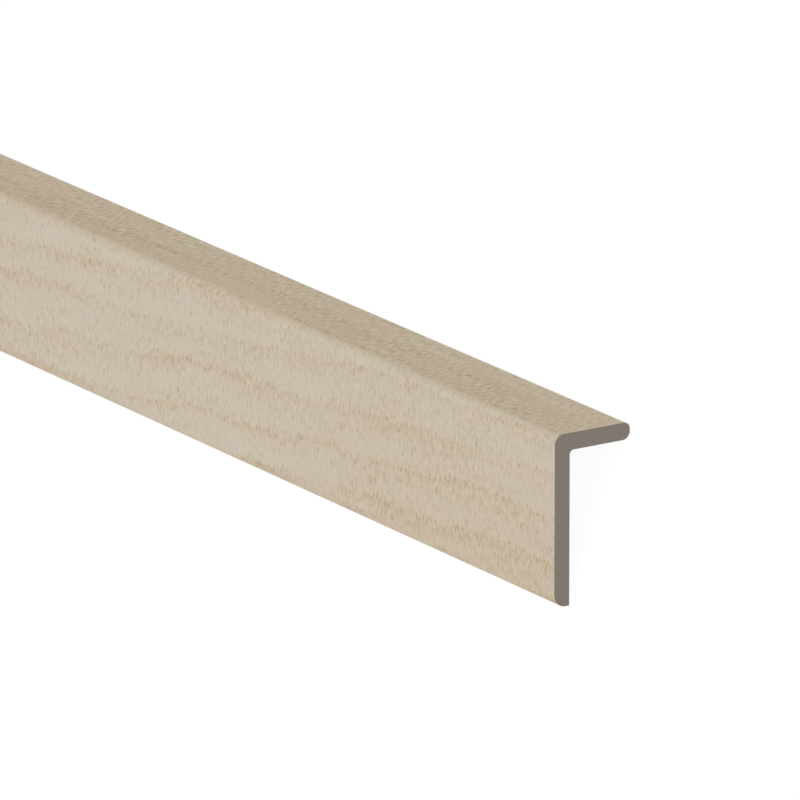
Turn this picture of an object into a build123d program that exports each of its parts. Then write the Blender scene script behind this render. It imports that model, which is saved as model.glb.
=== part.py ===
from build123d import *
import math
import os

# L-shaped floor trim: one length of extruded angle with two unequal legs.
#
# The section is drawn upright, as the trim sits over a step: the outer corner
# at the sketch's own origin, the short leg running back along +x, the long leg
# hanging down along -y. The bar is laid the way it rests unheld on a level
# floor, good side up like a low roof: on the square inner edge of the long
# leg's toe and on the rounded nose of the short leg.
#
# Frame: +X along the length, +Z up, the floor at Z = 0, the origin at the
# middle of the bar's footprint. Millimetres.

# ---- driving dimensions -----------------------------------------------------
LENGTH = 900.0  # one sold length
LONG_LEG = 50.0  # outside corner to the end of the long leg
SHORT_LEG = 25.0  # outside corner to the tip of the short leg
WALL = 5.0  # both legs
R_CORNER = 3.0  # outside corner
R_THROAT = 1.3  # inside corner
R_TOE = 3.7  # outside edge of the long leg's end; its inside edge is square
R_NOSE_TOP = 2.0  # rounded tip of the short leg, upper side
R_NOSE_UNDER = 2.4  # rounded tip of the short leg, under side

# ---- how the bar lies -------------------------------------------------------
# Two points of the section meet the floor: the square inner edge of the toe,
# and the underside round of the nose. The floor's normal, seen in the upright
# section, follows from those two.
toe_edge = (WALL, -LONG_LEG)
nose_centre = (SHORT_LEG - R_NOSE_UNDER, -WALL + R_NOSE_UNDER)
span = (nose_centre[0] - toe_edge[0], nose_centre[1] - toe_edge[1])
normal_angle = math.atan2(span[1], span[0]) + math.acos(
    R_NOSE_UNDER / math.hypot(*span)
)
LEAN = math.pi / 2 - normal_angle  # turn of the section about +X, radians


def across(x, y):
    """Row-frame Y of a point of the upright section, before centring."""
    return x * math.cos(LEAN) - y * math.sin(LEAN)


def height(x, y):
    """Row-frame Z of a point of the upright section, before it is set down."""
    return x * math.sin(LEAN) + y * math.cos(LEAN)


low_side = across(R_TOE, -LONG_LEG + R_TOE) - R_TOE
high_side = across(SHORT_LEG - R_NOSE_TOP, -R_NOSE_TOP) + R_NOSE_TOP
corner_y = -(low_side + high_side) / 2
corner_z = -height(*toe_edge)

section_plane = Plane(
    origin=(0, corner_y, corner_z),
    x_dir=(0, math.cos(LEAN), math.sin(LEAN)),
    z_dir=(1, 0, 0),
)

# ---- the bar ----------------------------------------------------------------
with BuildPart() as l_profile:
    with BuildSketch(section_plane) as section:
        with BuildLine() as outline:
            Polyline(
                (0, 0),
                (SHORT_LEG, 0),
                (SHORT_LEG, -WALL),
                (WALL, -WALL),
                (WALL, -LONG_LEG),
                (0, -LONG_LEG),
                close=True,
            )
        make_face()
        fillet(section.vertices().sort_by_distance((0, 0))[0], R_CORNER)
        fillet(section.vertices().sort_by_distance((WALL, -WALL))[0], R_THROAT)
        fillet(section.vertices().sort_by_distance((0, -LONG_LEG))[0], R_TOE)
        fillet(section.vertices().sort_by_distance((SHORT_LEG, 0))[0], R_NOSE_TOP)
        fillet(
            section.vertices().sort_by_distance((SHORT_LEG, -WALL))[0], R_NOSE_UNDER
        )
    extrude(amount=LENGTH / 2, both=True)

l_profile.part.label = "l_profile"

os.makedirs("parts", exist_ok=True)
export_step(l_profile.part, "parts/l_profile.step")

# ---- figures for the record -------------------------------------------------
def in_row(x, y):
    """(Y, Z) in the row frame of a point of the upright section."""
    return round(corner_y + across(x, y), 4), round(corner_z + height(x, y), 4)


box = l_profile.part.bounding_box()
print("lean deg", round(math.degrees(LEAN), 4))
print("box", box.min, box.max, "size", box.size)
print("volume mm3", round(l_profile.part.volume, 1))
print("centre of mass", l_profile.part.center(CenterOf.MASS))
print("outer corner (Y, Z)", in_row(0, 0))
print(
    "long leg inside face, middle",
    in_row(WALL, (-WALL - R_THROAT - LONG_LEG) / 2),
    "normal",
    (round(math.cos(LEAN), 6), round(math.sin(LEAN), 6)),
)
print(
    "short leg inside face, middle",
    in_row((WALL + R_THROAT + SHORT_LEG - R_NOSE_UNDER) / 2, -WALL),
    "normal",
    (round(math.sin(LEAN), 6), round(-math.cos(LEAN), 6)),
)
print("toe edge", in_row(*toe_edge), "inside corner", in_row(WALL, -WALL))
print("nose centre", in_row(*nose_centre))
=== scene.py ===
"""Looks of an L-shaped floor trim: a wood-print face over a plain grey-taupe core.

Metres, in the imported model's own frame: +X along the length, +Z up, the trim lying good side up
like a low roof on the edges of its two legs. "Upright" below means the section as the trim is used:
the outer corner at (0, 0), the short leg running back along +s, the long leg hanging down along -h.
"""

import math

import bpy
import numpy as np
from mathutils import Matrix, Vector


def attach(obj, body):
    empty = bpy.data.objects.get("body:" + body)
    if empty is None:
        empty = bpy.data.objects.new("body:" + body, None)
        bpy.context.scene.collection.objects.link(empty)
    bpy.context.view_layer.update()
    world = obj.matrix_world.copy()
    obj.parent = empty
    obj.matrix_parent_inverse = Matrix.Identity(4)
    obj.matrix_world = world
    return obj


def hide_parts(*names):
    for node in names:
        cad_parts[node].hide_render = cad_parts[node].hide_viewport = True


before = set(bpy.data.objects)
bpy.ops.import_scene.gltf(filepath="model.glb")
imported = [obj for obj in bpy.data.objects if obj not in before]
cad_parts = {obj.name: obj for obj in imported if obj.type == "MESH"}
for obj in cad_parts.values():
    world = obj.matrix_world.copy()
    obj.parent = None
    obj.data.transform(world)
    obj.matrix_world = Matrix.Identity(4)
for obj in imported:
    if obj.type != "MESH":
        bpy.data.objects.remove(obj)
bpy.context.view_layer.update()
scene = bpy.context.scene

# ---------------------------------------------------------------- the section, in millimetres
LENGTH, LONG_LEG, SHORT_LEG, WALL = 900.0, 50.0, 25.0, 5.0
R_CORNER, R_THROAT, R_TOE, R_NOSE_TOP, R_NOSE_UNDER = 3.0, 1.3, 3.7, 2.0, 2.4
FILM_RETURN = 1.6  # how far the print wraps past the nose, onto the short leg's inside face
EDGE_BREAK = 0.10  # the sawn ends' edges, just taken off
INSET = 0.0015  # keeps the finely rounded mesh inside the CAD box

toe_edge = (WALL, -LONG_LEG)
nose_centre = (SHORT_LEG - R_NOSE_UNDER, -WALL + R_NOSE_UNDER)
span = (nose_centre[0] - toe_edge[0], nose_centre[1] - toe_edge[1])
LEAN = math.pi / 2 - math.atan2(span[1], span[0]) - math.acos(R_NOSE_UNDER / math.hypot(*span))
COS, SIN = math.cos(LEAN), math.sin(LEAN)


def across(s, h):
    return s * COS - h * SIN


def height(s, h):
    return s * SIN + h * COS


CORNER_Y = -(
    across(R_TOE, -LONG_LEG + R_TOE) - R_TOE + across(SHORT_LEG - R_NOSE_TOP, -R_NOSE_TOP) + R_NOSE_TOP
) / 2
CORNER_Z = -height(*toe_edge)


def place(x, s, h):
    """A point of the upright trim, in mm, as a point of the row frame, in metres."""
    return Vector((x, CORNER_Y + across(s, h), CORNER_Z + height(s, h))) / 1000


def turn(x, s, h):
    """A direction of the upright trim in the row frame."""
    return Vector((x, across(s, h), height(s, h)))


# ---------------------------------------------------------------- the outline
def line(a, b, n):
    """n steps from a to b, without b; the outward normal is to the right of the way along it."""
    d = np.subtract(b, a) / math.dist(a, b)
    return [(tuple(np.add(a, np.subtract(b, a) * i / n)), (d[1], -d[0])) for i in range(n)]


def arc(centre, r, a0, a1, n):
    """n steps round a corner, without its end. A falling angle is a hollow, whose normal points at the centre."""
    sign = 1 if a1 > a0 else -1
    out = []
    for i in range(n):
        a = math.radians(a0 + (a1 - a0) * i / n)
        c = (math.cos(a), math.sin(a))
        out.append(((centre[0] + r * c[0], centre[1] + r * c[1]), (sign * c[0], sign * c[1])))
    return out


film_start = (SHORT_LEG - R_NOSE_UNDER - FILM_RETURN, -WALL)
printed = (
    line(film_start, (SHORT_LEG - R_NOSE_UNDER, -WALL), 2)
    + arc(nose_centre, R_NOSE_UNDER, -90, 0, 14)
    + line((SHORT_LEG, -WALL + R_NOSE_UNDER), (SHORT_LEG, -R_NOSE_TOP), 1)
    + arc((SHORT_LEG - R_NOSE_TOP, -R_NOSE_TOP), R_NOSE_TOP, 0, 90, 14)
    + line((SHORT_LEG - R_NOSE_TOP, 0), (R_CORNER, 0), 8)
    + arc((R_CORNER, -R_CORNER), R_CORNER, 90, 180, 20)
    + line((0, -R_CORNER), (0, -LONG_LEG + R_TOE), 16)
    + arc((R_TOE, -LONG_LEG + R_TOE), R_TOE, 180, 270, 20)
    + line((R_TOE, -LONG_LEG), toe_edge, 2)
)
bare = (
    line(toe_edge, (WALL, -WALL - R_THROAT), 14)
    + arc((WALL + R_THROAT, -WALL - R_THROAT), R_THROAT, 180, 90, 12)
    + line((WALL + R_THROAT, -WALL), film_start, 5)
)
outline = printed + bare
N, N_PRINT = len(outline), len(printed)

pos = np.array([p for p, _ in outline])
after = np.array([n for _, n in outline])  # normal of the face that leaves each point
step = np.linalg.norm(np.roll(pos, -1, 0) - pos, axis=1)
before = after.copy()  # normal of the face that comes to it, which differs only at the square toe edge
before[N_PRINT] = (0, -1)
mitre = after + before
mitre /= np.maximum(np.linalg.norm(mitre, axis=1) ** 2 / 2, 1e-9)[:, None]

# Distance along the print: 0 at the outer corner's edge line, + down the long leg, - along the short leg.
run = np.concatenate([[0], np.cumsum(step)])
i_front = next(i for i, p in enumerate(pos) if abs(p[0]) < 1e-9 and abs(p[1] + R_CORNER) < 1e-9)
along = run - run[i_front] + R_CORNER

# ---------------------------------------------------------------- the mesh
ROWS = 3  # the baked map holds the length in this many rows
PER_ROW = 12
xs = np.linspace(-LENGTH / 2, LENGTH / 2, ROWS * PER_ROW + 1)
xs_side = xs.copy()
xs_side[0] += EDGE_BREAK
xs_side[-1] -= EDGE_BREAK

verts = []
rings = []
for x in xs_side:
    ring = []
    for k in range(N):
        s, h = pos[k] - mitre[k] * INSET
        if k == 0:  # the print's edge under the nose wanders a little, as a wrapped film's does
            s += 0.16 * math.sin(x * 0.021 + 1.3) + 0.10 * math.sin(x * 0.057 + 0.4)
        ring.append(len(verts))
        verts.append(place(x, s, h))
    rings.append(ring)
ends = []
for x in (xs[0], xs[-1]):
    ring = []
    for k in range(N):
        s, h = pos[k] - mitre[k] * (INSET + EDGE_BREAK)
        ring.append(len(verts))
        verts.append(place(x, s, h))
    ends.append(ring)

faces, normals, film_uv, bake_uv, slots = [], [], [], [], []
PRINT_MAT, BARE_MAT, SAWN_MAT = 0, 1, 2

# The baked map, laid out in millimetres: the print full size, the bare inside at half its width, the
# sawn ends in a column of their own.
GAP = 2.0
BARE_SCALE = 0.5
print_w = run[N_PRINT]
bare_w = (run[N] - run[N_PRINT]) * BARE_SCALE
row_h = print_w + bare_w + 2 * GAP
SIDE = ROWS * row_h + GAP
END_SCALE = (SIDE - LENGTH / ROWS - 3.5 * GAP) / (SHORT_LEG + 1)


def bake_at(i_row, x, k_run, is_print):
    u = GAP + x - (-LENGTH / 2 + i_row * LENGTH / ROWS)
    v = GAP + i_row * row_h
    v += k_run if is_print else print_w + GAP + (k_run - print_w) * BARE_SCALE
    return (u / SIDE, v / SIDE)


def end_at(which, s, h):
    u = 2.5 * GAP + LENGTH / ROWS + s * END_SCALE
    v = GAP + which * (LONG_LEG * END_SCALE + 3 * GAP) + (LONG_LEG + h) * END_SCALE
    return (u / SIDE, v / SIDE)


def add_strip(low, high, x0, x1, i_row):
    """One band of faces round the outline between two rings."""
    for k in range(N):
        k1 = (k + 1) % N
        faces.append((low[k], low[k1], high[k1], high[k]))
        a, b = turn(0, *after[k]), turn(0, *before[k1])
        normals.extend([a, b, b, a])
        r0, r1 = run[k], run[k + 1]
        a0, a1 = along[k], along[k + 1]
        film_uv.extend([(x0, a0), (x0, a1), (x1, a1), (x1, a0)])
        p = k < N_PRINT
        bake_uv.extend(
            [bake_at(i_row, x, r, p) for x, r in ((x0, r0), (x0, r1), (x1, r1), (x1, r0))]
        )
        slots.append(PRINT_MAT if p else BARE_MAT)


def add_break(which):
    """The broken edge of a sawn end. It goes through the print, so it shows the core."""
    low, high = (rings[-1], ends[1]) if which else (ends[0], rings[0])
    tilt = (1 if which else -1) * math.sqrt(0.5)
    for k in range(N):
        k1 = (k + 1) % N
        faces.append((low[k], low[k1], high[k1], high[k]))
        a, b = (turn(tilt, *(n * math.sqrt(0.5))) for n in (after[k], before[k1]))
        normals.extend([a, b, b, a])
        rim = [pos[k], pos[k1]]
        cut = [pos[k] - mitre[k] * EDGE_BREAK, pos[k1] - mitre[k1] * EDGE_BREAK]
        corners = rim + cut[::-1] if which else cut + rim[::-1]
        film_uv.extend([tuple(c) for c in corners])
        bake_uv.extend([end_at(which, *c) for c in corners])
        slots.append(SAWN_MAT)


for i in range(len(xs) - 1):
    add_strip(rings[i], rings[i + 1], xs_side[i], xs_side[i + 1], i // PER_ROW)

for which, ring in enumerate(ends):
    add_break(which)
    order = list(range(N)) if which else list(range(N - 1, -1, -1))
    faces.append([ring[k] for k in order])
    normals.extend([Vector((1 if which else -1, 0, 0))] * N)
    for k in order:
        s, h = pos[k] - mitre[k] * EDGE_BREAK
        film_uv.append((s, h))
        bake_uv.append(end_at(which, s, h))
    slots.append(SAWN_MAT)

mesh = bpy.data.meshes.new("floor_trim")
mesh.from_pydata(verts, [], faces)
mesh.update()
for name, values in (("OFBake", bake_uv), ("film", film_uv)):
    layer = mesh.uv_layers.new(name=name)
    layer.uv.foreach_set("vector", np.array(values, np.float32).ravel())
mesh.polygons.foreach_set("material_index", np.array(slots, np.int32))
mesh.polygons.foreach_set("use_smooth", np.ones(len(faces), bool))
mesh.normals_split_custom_set([n.normalized() for n in normals])
mesh.uv_layers.active = mesh.uv_layers["OFBake"]
trim = bpy.data.objects.new("floor_trim", mesh)
scene.collection.objects.link(trim)


# ---------------------------------------------------------------- shader helpers
def srgb(r, g, b):
    """8-bit display colour to linear."""
    return tuple(
        c / 12.92 if c <= 0.04045 else ((c + 0.055) / 1.055) ** 2.4 for c in (r / 255, g / 255, b / 255)
    ) + (1.0,)


class Graph:
    """A short way to write a node tree. An input is a number, a colour or another node's output."""

    def __init__(self, name):
        self.mat = bpy.data.materials.new(name)
        self.mat.use_nodes = True
        self.tree = self.mat.node_tree
        self.tree.nodes.clear()
        self.shader = self.tree.nodes.new("ShaderNodeBsdfPrincipled")
        out = self.tree.nodes.new("ShaderNodeOutputMaterial")
        self.tree.links.new(self.shader.outputs[0], out.inputs["Surface"])

    def put(self, socket, value):
        if isinstance(value, bpy.types.NodeSocket):
            self.tree.links.new(value, socket)
        else:
            socket.default_value = value

    def node(self, kind, **settings):
        n = self.tree.nodes.new(kind)
        for k, v in settings.items():
            setattr(n, k, v)
        return n

    def math(self, op, a, b=0.0, c=0.0, clamp=False):
        n = self.node("ShaderNodeMath", operation=op, use_clamp=clamp)
        self.put(n.inputs[0], a)
        self.put(n.inputs[1], b)
        self.put(n.inputs[2], c)
        return n.outputs[0]

    def add(self, a, b):
        return self.math("ADD", a, b)

    def sub(self, a, b):
        return self.math("SUBTRACT", a, b)

    def mul(self, a, b):
        return self.math("MULTIPLY", a, b)

    def ramp(self, value, lo, hi, to_lo=0.0, to_hi=1.0, smooth=True):
        n = self.node("ShaderNodeMapRange", interpolation_type="SMOOTHSTEP" if smooth else "LINEAR", clamp=True)
        for socket, v in zip(n.inputs[:5], (value, lo, hi, to_lo, to_hi)):
            self.put(socket, v)
        return n.outputs[0]

    def vec(self, x, y, z=0.0):
        n = self.node("ShaderNodeCombineXYZ")
        for socket, v in zip(n.inputs, (x, y, z)):
            self.put(socket, v)
        return n.outputs[0]

    def noise(self, vector, detail=2.0, rough=0.5, distortion=0.0, dims="2D"):
        n = self.node("ShaderNodeTexNoise", noise_dimensions=dims)
        self.put(n.inputs["Vector"], vector)
        self.put(n.inputs["Scale"], 1.0)
        self.put(n.inputs["Detail"], detail)
        self.put(n.inputs["Roughness"], rough)
        self.put(n.inputs["Distortion"], distortion)
        return n.outputs[0]

    def cells(self, vector, randomness=1.0, feature="F1"):
        n = self.node("ShaderNodeTexVoronoi", voronoi_dimensions="2D", feature=feature)
        self.put(n.inputs["Vector"], vector)
        self.put(n.inputs["Scale"], 1.0)
        self.put(n.inputs["Randomness"], randomness)
        c = self.node("ShaderNodeSeparateColor")
        self.put(c.inputs[0], n.outputs["Color"])
        return n.outputs["Distance"], c.outputs[0], c.outputs[1], c.outputs[2]

    def mix(self, amount, a, b):
        n = self.node("ShaderNodeMix", data_type="RGBA", blend_type="MIX")
        self.put(n.inputs[0], amount)
        self.put(n.inputs[6], a)
        self.put(n.inputs[7], b)
        return n.outputs[2]

    def scale_colour(self, colour, factor):
        n = self.node("ShaderNodeVectorMath", operation="SCALE")
        self.put(n.inputs[0], colour)
        self.put(n.inputs["Scale"], factor)
        return n.outputs[0]

    def tint(self, colour, amount, shares):
        """Lightens or darkens a colour by an amount, with a share of it for each channel."""
        factor = self.vec(*(self.math("MULTIPLY_ADD", amount, k, 1.0) for k in shares))
        n = self.node("ShaderNodeVectorMath", operation="MULTIPLY")
        self.put(n.inputs[0], colour)
        self.put(n.inputs[1], factor)
        return n.outputs[0]

    def film(self):
        """(x along the length, distance along the section) in mm, from the mesh."""
        n = self.node("ShaderNodeUVMap", uv_map="film")
        s = self.node("ShaderNodeSeparateXYZ")
        self.put(s.inputs[0], n.outputs[0])
        return s.outputs[0], s.outputs[1]

    def bump(self, height_value, distance):
        n = self.node("ShaderNodeBump")
        self.put(n.inputs["Strength"], 1.0)
        self.put(n.inputs["Distance"], distance)
        self.put(n.inputs["Height"], height_value)
        self.put(self.shader.inputs["Normal"], n.outputs[0])


# ---------------------------------------------------------------- the wood print
def wood_print():
    g = Graph("wood_print")
    u, v = g.film()

    # fibres: short soft strokes, not quite square to the length and leaning this way and that, and their hues
    lean = g.mul(g.sub(g.noise(g.vec(g.mul(u, 1 / 7), g.mul(v, 1 / 9)), 0.0), 0.5), 2.8)
    lean = g.mul(lean, g.ramp(v, -7.0, 4.0, 0.30, 1.0))
    down, up = g.math("MAXIMUM", v, 0.0), g.math("MAXIMUM", g.sub(0.0, v), 0.0)
    slant = g.add(g.mul(down, 0.06), g.mul(g.math("MINIMUM", up, 21.0), 0.10))  # square to the length round the nose
    uu = g.add(u, g.add(lean, slant))
    fibre = g.noise(g.vec(g.mul(uu, 1 / 0.88), g.sub(g.mul(down, 1 / 2.9), g.mul(up, 1 / 3.0))), 2.0, 0.6)
    hue = g.noise(g.vec(g.add(g.mul(uu, 1 / 1.25), 57.3), g.mul(v, 1 / 2.8)), 1.0)
    fine = g.noise(g.vec(g.add(g.mul(uu, 1 / 0.62), 11.9), g.sub(g.mul(down, 1 / 2.3), g.mul(up, 1 / 2.5))), 1.0)
    feather = g.mul(g.sub(fibre, 0.5), 5.5)
    back = g.ramp(g.add(v, g.mul(feather, 0.9)), 0.9, -1.9)  # 1 on the short leg

    # Growth rings: lines along the length that drift across the face in one long wave. On the short
    # leg they run almost straight. The fibres feather their edges.
    s = g.sub(LENGTH / 2, u)
    wave = g.mul(g.math("SINE", g.mul(g.sub(s, 190.0), 2 * math.pi / 1030)), -16.4)
    wave = g.mul(wave, g.ramp(v, -9.0, 4.0, 0.15, 1.0))
    slow = g.sub(g.noise(g.vec(g.mul(u, 1 / 70), g.mul(v, 1 / 16)), 2.0), 0.5)
    w = g.add(g.add(v, wave), g.add(g.mul(slow, 7.0), feather))
    part = g.math("FRACT", g.mul(g.sub(w, 26.7), 1 / 12.3))
    # each ring starts with a line of pores, thins out, and ends in clear wood
    broken = g.ramp(g.noise(g.vec(g.mul(u, 1 / 40), g.mul(w, 1 / 8)), 2.0), 0.36, 0.62, 0.20, 1.0)
    row = g.math("MAXIMUM", g.ramp(part, 0.0, 0.22, 1.0, 0.0), g.ramp(part, 0.91, 1.0))
    between = g.math("PINGPONG", g.sub(w, 4.1), 8.7)
    row = g.math("MAXIMUM", g.mul(row, broken), g.ramp(between, 1.0, 0.0, 0.0, 0.35))
    row = g.mul(row, g.ramp(g.math("ABSOLUTE", g.add(v, 0.2)), 0.8, 3.4, 0.35, g.sub(1.0, g.mul(back, 0.25))))  # none runs along the bend
    thin = g.ramp(part, 0.08, 0.75, 1.0, 0.0)
    cloud = g.ramp(g.noise(g.vec(g.mul(u, 1 / 38), g.mul(w, 1 / 5.6)), 2.0), 0.38, 0.62)
    streak = g.ramp(g.noise(g.vec(g.mul(u, 1 / 60), g.mul(w, 1 / 2.6)), 2.0), 0.38, 0.62)
    cloud = g.add(g.mul(cloud, g.sub(1.0, g.mul(back, 0.5))), g.mul(streak, g.mul(back, 0.5)))
    # the wood is tanner and busier low on the long leg, most of all by the +X end
    heart = g.mul(g.ramp(v, -14.0, 55.0), g.ramp(g.math("COSINE", g.mul(s, 2 * math.pi / 420)), -1.0, 1.0))
    busy = g.add(g.mul(g.add(cloud, thin), 0.33), g.add(g.mul(row, 0.45), g.mul(heart, 0.17)))
    busy = g.math("MINIMUM", busy, 1.0)

    # pores: small dark dashes, thick along the ring lines, thin in the clear wood
    d1, a1, b1, c1 = g.cells(g.vec(g.mul(uu, 1 / 1.5), g.mul(v, 1 / 2.85)))
    here1 = g.ramp(g.sub(g.add(g.mul(busy, 0.78), 0.06), a1), -0.05, 0.10)
    size1 = g.ramp(b1, 0.0, 1.0, 0.33, 0.54, smooth=False)
    deep1 = g.mul(g.ramp(c1, 0.0, 1.0, 0.07, 0.42, smooth=False), g.add(g.mul(row, 0.45), 1.0))
    pore1 = g.mul(g.mul(g.ramp(d1, size1, 0.05), here1), deep1)
    d2, a2, b2, c2 = g.cells(g.vec(g.add(g.mul(uu, 1 / 1.15), 31.7), g.mul(v, 1 / 2.3)))
    here2 = g.ramp(g.sub(g.add(g.mul(busy, 0.86), 0.10), a2), -0.05, 0.10)
    pore2 = g.mul(g.mul(g.ramp(d2, 0.46, 0.05), here2), g.ramp(c2, 0.0, 1.0, 0.08, 0.30, smooth=False))
    pore = g.math("MAXIMUM", pore1, pore2)
    halo = g.math("MAXIMUM", g.mul(g.ramp(d1, 0.85, 0.15), here1), g.mul(g.ramp(d2, 0.85, 0.15), g.mul(here2, 0.7)))

    stroke = g.mul(g.ramp(fibre, 0.42, 0.80), g.add(g.mul(busy, 0.30), 0.09))
    stroke = g.mul(stroke, g.sub(1.0, g.mul(back, 0.7)))
    edge = g.ramp(v, 45.8, 49.3)  # the toe's round, a little darker and tanner: partly tan print, partly painted shade where the round turns from the light
    stroke = g.add(stroke, g.mul(edge, 0.06))
    dark = g.math("ADD", stroke, g.mul(pore, g.sub(1.0, g.mul(back, 0.57))), clamp=True)

    # the colours: clear wood between a warm and a cool hue, a painted highlight along the bend, tan along the
    # ring lines, darker and warmer on the short leg (partly the print's tone, partly painted shade), then the
    # strokes and pores
    # painted shade: the short leg's print is made darker and warmer, partly its own tone and partly standing in for
    # that face being less lit
    leg = g.mul(back, g.add(g.ramp(v, -20.0, -10.0, 0.60, 0.83), g.ramp(v, -9.0, -4.0, 0.0, 0.07)))
    tan = g.add(g.add(g.mul(row, 0.08), g.mul(busy, 0.16)), g.add(g.mul(heart, 0.24), g.mul(edge, 0.28)))
    tan = g.add(tan, g.mul(halo, g.mul(g.add(g.mul(busy, 0.28), 0.03), g.sub(1.0, g.mul(back, 0.6)))))
    tan = g.add(tan, g.mul(back, g.mul(g.add(cloud, row), 0.16)))
    cool = g.ramp(hue, 0.25, 0.75, smooth=False)
    colour = g.mix(cool, srgb(208.7, 195.8, 176.5), srgb(206.7, 195.8, 180.0))
    colour = g.mix(g.ramp(fibre, 0.50, 0.22, 0.0, g.add(g.mul(busy, 0.35), 0.40)), colour, srgb(211.7, 202.3, 186.5))
    # painted highlight: a lighter band along the rounded corner, where the bend would catch the light
    bend_highlight = g.ramp(g.math("ABSOLUTE", g.sub(v, 2.9)), 2.0, 0.3, 0.0, 0.16)
    colour = g.mix(bend_highlight, colour, srgb(214, 204, 189))
    # the short leg's darker, warmer colour: print tone and painted shade
    colour = g.mix(leg, colour, srgb(197.0, 180.5, 152.7))
    colour = g.mix(tan, colour, g.mix(back, srgb(202.3, 180.7, 148.5), srgb(191.0, 164.5, 127.5)))
    colour = g.mix(dark, colour, g.mix(cool, srgb(167, 140, 100), srgb(157, 138, 109)))
    grain = g.sub(g.mul(g.sub(hue, 0.5), 0.04), g.mul(g.sub(fibre, 0.5), 0.04))
    grain = g.mul(grain, g.mul(back, g.add(g.mul(busy, 0.5), 0.75)))
    calm = g.mul(back, 0.28)  # on the short leg the strokes are strong in some places and faint in others
    calm = g.ramp(g.noise(g.vec(g.mul(u, 1 / 34), g.mul(w, 1 / 7)), 1.0), 0.34, 0.66, g.sub(1.0, calm), g.add(1.0, calm))
    uneven = g.add(g.mul(busy, g.sub(1.15, g.mul(back, 0.45))), g.add(g.mul(back, 0.21), 0.46))
    sharp = g.mul(g.ramp(back, 0.0, 1.0, 0.21, 1.03, smooth=False), g.mul(calm, uneven))
    sharp = g.mul(sharp, g.ramp(v, -27.0, -21.5, 0.42, 1.0))
    grain = g.add(grain, g.mul(g.ramp(fine, 0.14, 0.70, -0.36, 0.20, smooth=False), sharp))
    colour = g.tint(colour, grain, (0.70, 1.0, 1.28))
    # a faint mottling of hue, as in any print
    rosy = g.sub(g.noise(g.vec(g.add(g.mul(u, 1 / 6), 5.1), g.mul(w, 1 / 3.4)), 4.0, 0.75), 0.5)
    green = g.sub(g.noise(g.vec(g.add(g.mul(u, 1 / 4), 83.7), g.mul(w, 1 / 2.8)), 3.0, 0.7), 0.5)
    colour = g.tint(colour, rosy, (0.070, -0.050, 0.010))
    colour = g.tint(colour, green, (0.0, 0.018, -0.09))
    g.put(g.shader.inputs["Base Color"], colour)

    g.put(g.shader.inputs["Roughness"], g.ramp(dark, 0.0, 0.5, 0.52, 0.64, smooth=False))
    g.put(g.shader.inputs["Specular IOR Level"], 0.25)
    g.bump(g.sub(g.mul(fibre, 0.4), dark), 0.00003)
    return g.mat


# ---------------------------------------------------------------- the core
CORE = tuple(c * 1.055 for c in srgb(127.8, 118.5, 111.2)[:3])


def bare_core():
    """Extruded inside faces: faint die lines along the length and a slightly uneven skin."""
    g = Graph("bare_core")
    u, v = g.film()
    lines = g.noise(g.vec(g.mul(u, 1 / 260), g.mul(v, 1 / 0.7)), 3.0, 0.6)
    cloud = g.noise(g.vec(g.mul(u, 1 / 30), g.mul(v, 1 / 12)), 3.0, 0.5)
    speck = g.noise(g.vec(g.mul(u, 1 / 0.5), g.mul(v, 1 / 0.5)), 2.0, 0.5)
    tone = g.add(g.ramp(lines, 0.25, 0.75, -0.05, 0.05, smooth=False), g.ramp(cloud, 0.25, 0.75, -0.025, 0.025, smooth=False))
    tone = g.add(tone, g.ramp(speck, 0.25, 0.75, 0.985, 1.015, smooth=False))
    g.put(g.shader.inputs["Base Color"], g.scale_colour(CORE[:3], tone))
    g.put(g.shader.inputs["Roughness"], g.ramp(lines, 0.2, 0.8, 0.48, 0.60, smooth=False))
    g.put(g.shader.inputs["Specular IOR Level"], 0.3)
    g.bump(g.add(g.mul(lines, 0.8), g.mul(speck, 0.2)), 0.00003)
    return g.mat


def sawn_core():
    """Sawn ends: an even filled plastic with the blade's faint arcs."""
    g = Graph("sawn_core")
    s, h = g.film()
    far = g.math("SQRT", g.add(g.math("POWER", g.add(s, 140.0), 2.0), g.math("POWER", g.add(h, 95.0), 2.0)))
    wob = g.mul(g.noise(g.vec(g.mul(s, 1 / 6), g.mul(h, 1 / 6)), 1.0), 1.1)
    arcs = g.noise(g.vec(g.mul(g.add(far, wob), 1 / 0.55), 0.0), 2.0, 0.6)
    speck = g.noise(g.vec(g.mul(s, 1 / 0.35), g.mul(h, 1 / 0.35)), 2.0, 0.6)
    cloud = g.noise(g.vec(g.mul(s, 1 / 7), g.mul(h, 1 / 7)), 2.0, 0.5)
    tone = g.add(g.ramp(arcs, 0.25, 0.75, -0.018, 0.018, smooth=False), g.ramp(speck, 0.25, 0.75, -0.022, 0.022, smooth=False))
    tone = g.add(tone, g.ramp(cloud, 0.25, 0.75, 0.985, 1.015, smooth=False))
    g.put(g.shader.inputs["Base Color"], g.scale_colour(CORE[:3], tone))
    g.put(g.shader.inputs["Roughness"], g.ramp(speck, 0.2, 0.8, 0.62, 0.74, smooth=False))
    g.put(g.shader.inputs["Specular IOR Level"], 0.2)
    g.bump(g.add(g.mul(arcs, 0.7), g.mul(speck, 0.3)), 0.00002)
    return g.mat


for make in (wood_print, bare_core, sawn_core):
    mesh.materials.append(make())

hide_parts("l_profile")
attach(trim, "root")

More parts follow.
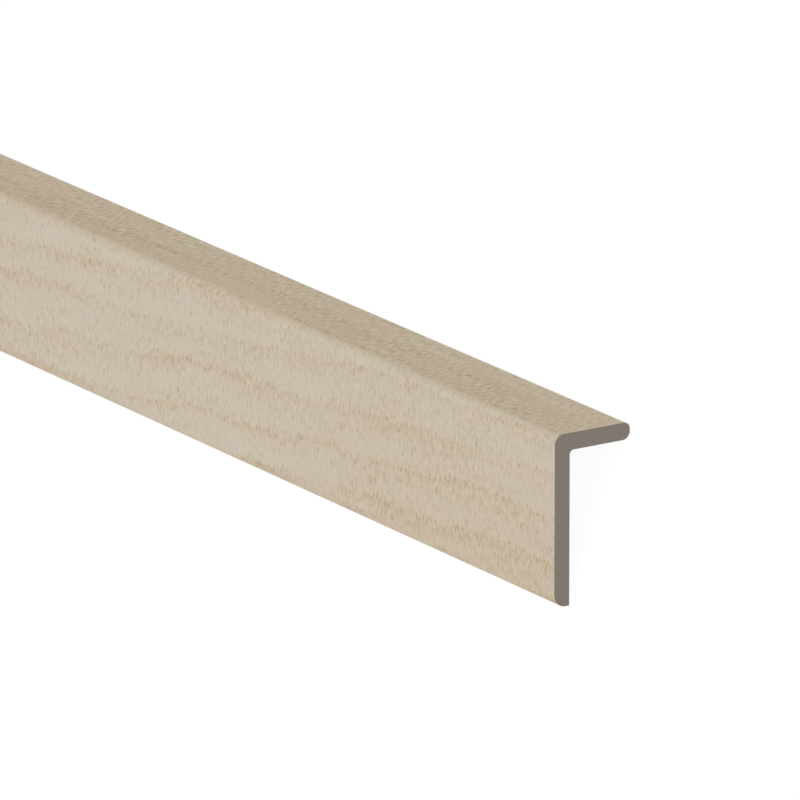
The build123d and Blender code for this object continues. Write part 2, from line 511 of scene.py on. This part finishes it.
# ---------------------------------------------------------------- floor and light
floor_mesh = bpy.data.meshes.new("floor")
floor_mesh.from_pydata([(-60, -60, 0), (60, -60, 0), (60, 60, 0), (-60, 60, 0)], [], [(0, 1, 2, 3)])
floor = bpy.data.objects.new("floor", floor_mesh)
scene.collection.objects.link(floor)
pale_floor = bpy.data.materials.new("pale_floor")
pale_floor.use_nodes = True
p = pale_floor.node_tree.nodes["Principled BSDF"]
p.inputs["Base Color"].default_value = (0.09, 0.09, 0.09, 1)
p.inputs["Roughness"].default_value = 0.9
p.inputs["Specular IOR Level"].default_value = 0.0
p.inputs["Emission Color"].default_value = (1, 1, 1, 1)
p.inputs["Emission Strength"].default_value = 0.945
floor_mesh.materials.append(pale_floor)

world = bpy.data.worlds.new("studio")
world.use_nodes = True
world.node_tree.nodes["Background"].inputs["Color"].default_value = (1, 1, 1, 1)
world.node_tree.nodes["Background"].inputs["Strength"].default_value = 0.40
scene.world = world


def soft_sun(name, towards, strength, angle_deg, colour=(1, 1, 1)):
    data = bpy.data.lights.new(name, "SUN")
    data.energy = strength
    data.angle = math.radians(angle_deg)
    data.color = colour
    o = bpy.data.objects.new(name, data)
    o.rotation_mode = "QUATERNION"
    o.rotation_quaternion = Vector(towards).to_track_quat("Z", "Y")
    scene.collection.objects.link(o)


# energy is irradiance in W/m2: pi of it makes a white surface that faces it as bright as 1
soft_sun("overhead", (0.30, -0.22, 0.93), 0.56 * math.pi, 60)
soft_sun("side_fill", (0.10, 0.90, 0.42), 0.09 * math.pi, 60, (1.0, 0.9, 0.5))

# ---------------------------------------------------------------- camera
# Given for the upright trim, with its near end at x = 0, and turned with it into the row frame.
cam_at = (2656.168, -1772.230, 958.224)
cam_right = (0.5438760762, 0.8391655138, -0.0002325851)
cam_down = (0.2387110200, -0.1549779837, -0.9586442893)
cam_forward = (-0.8044972733, 0.5213281739, -0.2846068735)
cam_data = bpy.data.cameras.new("camera")
cam_data.sensor_fit = "HORIZONTAL"
cam_data.sensor_width = 36.0
cam_data.lens = 36.0 * 12075.188 / 800
cam_data.clip_start, cam_data.clip_end = 0.05, 200.0
camera = bpy.data.objects.new("camera", cam_data)
axes = Matrix((turn(*cam_right), -turn(*cam_down), -turn(*cam_forward))).transposed()
camera.matrix_world = Matrix.Translation(place(LENGTH / 2 + cam_at[0], cam_at[1], cam_at[2])) @ axes.to_4x4()
scene.collection.objects.link(camera)
scene.camera = camera

scene.view_settings.view_transform = "Standard"
scene.view_settings.look = "None"

# ---------------------------------------------------------------- the end
bpy.context.view_layer.update()
